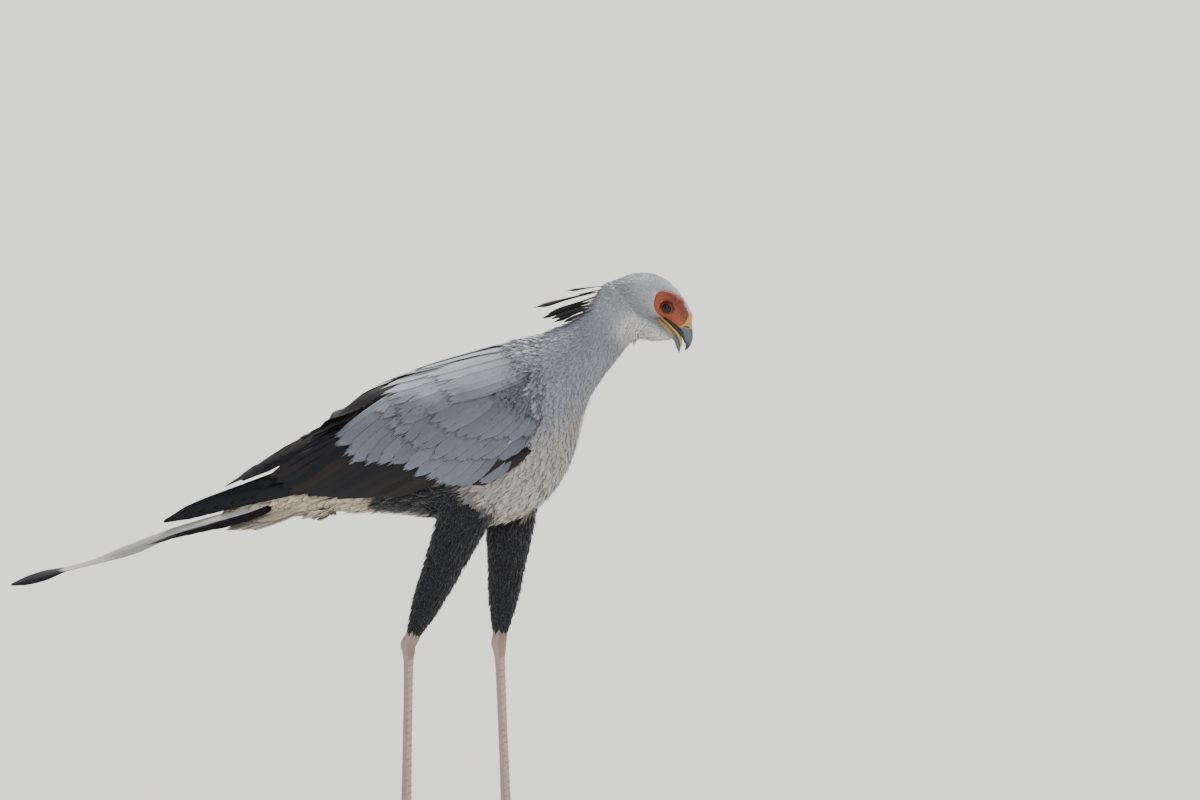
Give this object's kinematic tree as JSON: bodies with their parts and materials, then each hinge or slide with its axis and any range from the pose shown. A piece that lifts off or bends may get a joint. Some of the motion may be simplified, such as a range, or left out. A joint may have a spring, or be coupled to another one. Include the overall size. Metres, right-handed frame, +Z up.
{
  "type": "secretary bird",
  "caption": "A life-size secretary bird walking with its head lowered, long grey and black plumage, trailing tail feathers and a crest",
  "frame": {"origin": "on the floor, at the middle of the bird's box seen from above", "axes": "+X the way the bird faces, along its length from tail tip to bill; +Y its left side; +Z up"},
  "size_m": [1.1613, 0.2134, 0.9448],
  "materials": {
    "grey_plumage": "soft pale blue-grey body feathers, whitish on the crown and throat",
    "wing_plumage": "blue-grey coverts over black flight feathers",
    "black_plumage": "short dense black leg feathers with a faint gloss",
    "tail_plumage": "grey-white long tail feathers with black ends, buff coverts below",
    "shank_skin": "pinkish flesh-coloured bare skin under broad scutes",
    "claw_horn": "dark brown horn",
    "bill_horn": "blue-grey horn, darker at the tip, yellowish at the base",
    "mouth_lining": "moist pale yellow",
    "eye_gloss": "wet dark brown"
  },
  "bodies": {
    "root": {"torso": "grey_plumage", "neck": "grey_plumage", "head": "grey_plumage", "bill_upper": "bill_horn", "bill_lower": "bill_horn", "tongue": "mouth_lining", "tail": "tail_plumage", "eye_right": "eye_gloss", "wing_right": "wing_plumage", "thigh_right": "black_plumage", "shank_right": "shank_skin", "foot_right": "shank_skin", "claw_right_middle": "claw_horn", "claw_right_inner": "claw_horn", "claw_right_outer": "claw_horn", "claw_right_hind": "claw_horn", "eye_left": "eye_gloss", "wing_left": "wing_plumage", "thigh_left": "black_plumage", "shank_left": "shank_skin", "foot_left": "shank_skin", "claw_left_middle": "claw_horn", "claw_left_inner": "claw_horn", "claw_left_outer": "claw_horn", "claw_left_hind": "claw_horn"}
  },
  "joints": []
}
